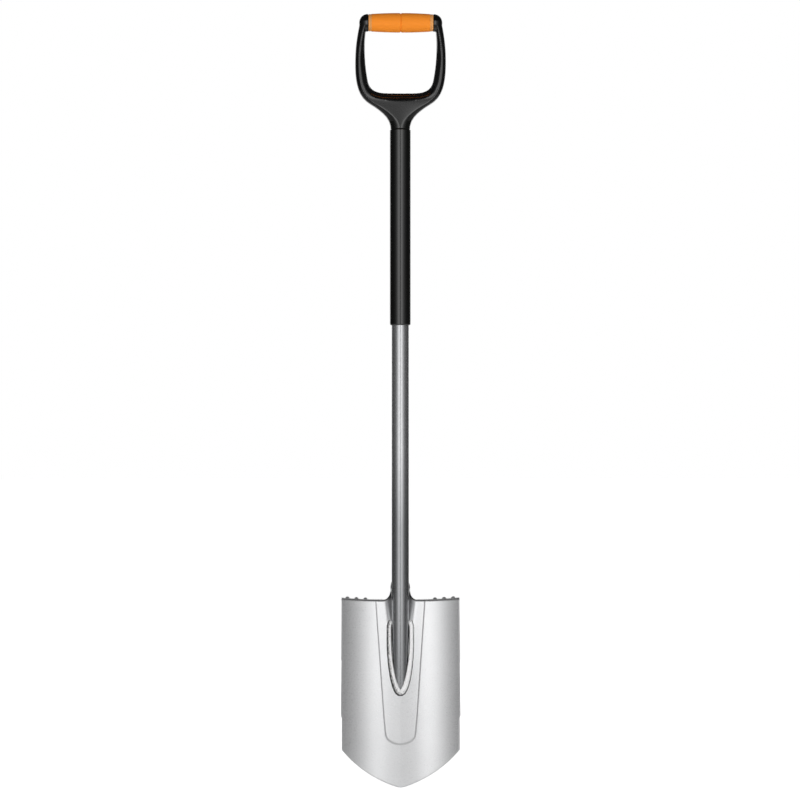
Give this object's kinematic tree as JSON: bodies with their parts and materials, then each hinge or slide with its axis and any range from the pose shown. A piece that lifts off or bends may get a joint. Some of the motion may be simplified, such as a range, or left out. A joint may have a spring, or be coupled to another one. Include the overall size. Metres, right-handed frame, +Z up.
{
  "type": "pointed spade",
  "caption": "Digging spade with a dished, pointed sheet-steel blade, straight tubular shaft with a plastic sleeve, and a D-handle with a soft crossbar grip.",
  "frame": {"origin": "the underside of the grip, midway along it, where a hook carries the hung tool", "axes": "+Z up along the straight shaft towards the handle, +X to the right along the crossbar, +Y to the back of the blade"},
  "size_m": [0.1848, 0.0626, 1.1993],
  "materials": {
    "blade_steel": "bright rolled sheet, satin, with fine scratches along the blade",
    "tube_steel": "bright drawn tube, polished",
    "weld_bead": "rippled weld metal, brushed clean",
    "black_plastic": "moulded black plastic, semi-gloss",
    "pin_steel": "plain drawn pin",
    "grip_orange": "moulded soft grip, satin orange"
  },
  "bodies": {
    "root": {"blade": "blade_steel", "shaft_tube": "tube_steel", "front_weld": "weld_bead", "neck_weld": "weld_bead", "shaft_sleeve": "black_plastic", "handle_body": "black_plastic", "handle_pin": "pin_steel", "grip_right": "grip_orange", "grip_left": "grip_orange"}
  },
  "joints": []
}
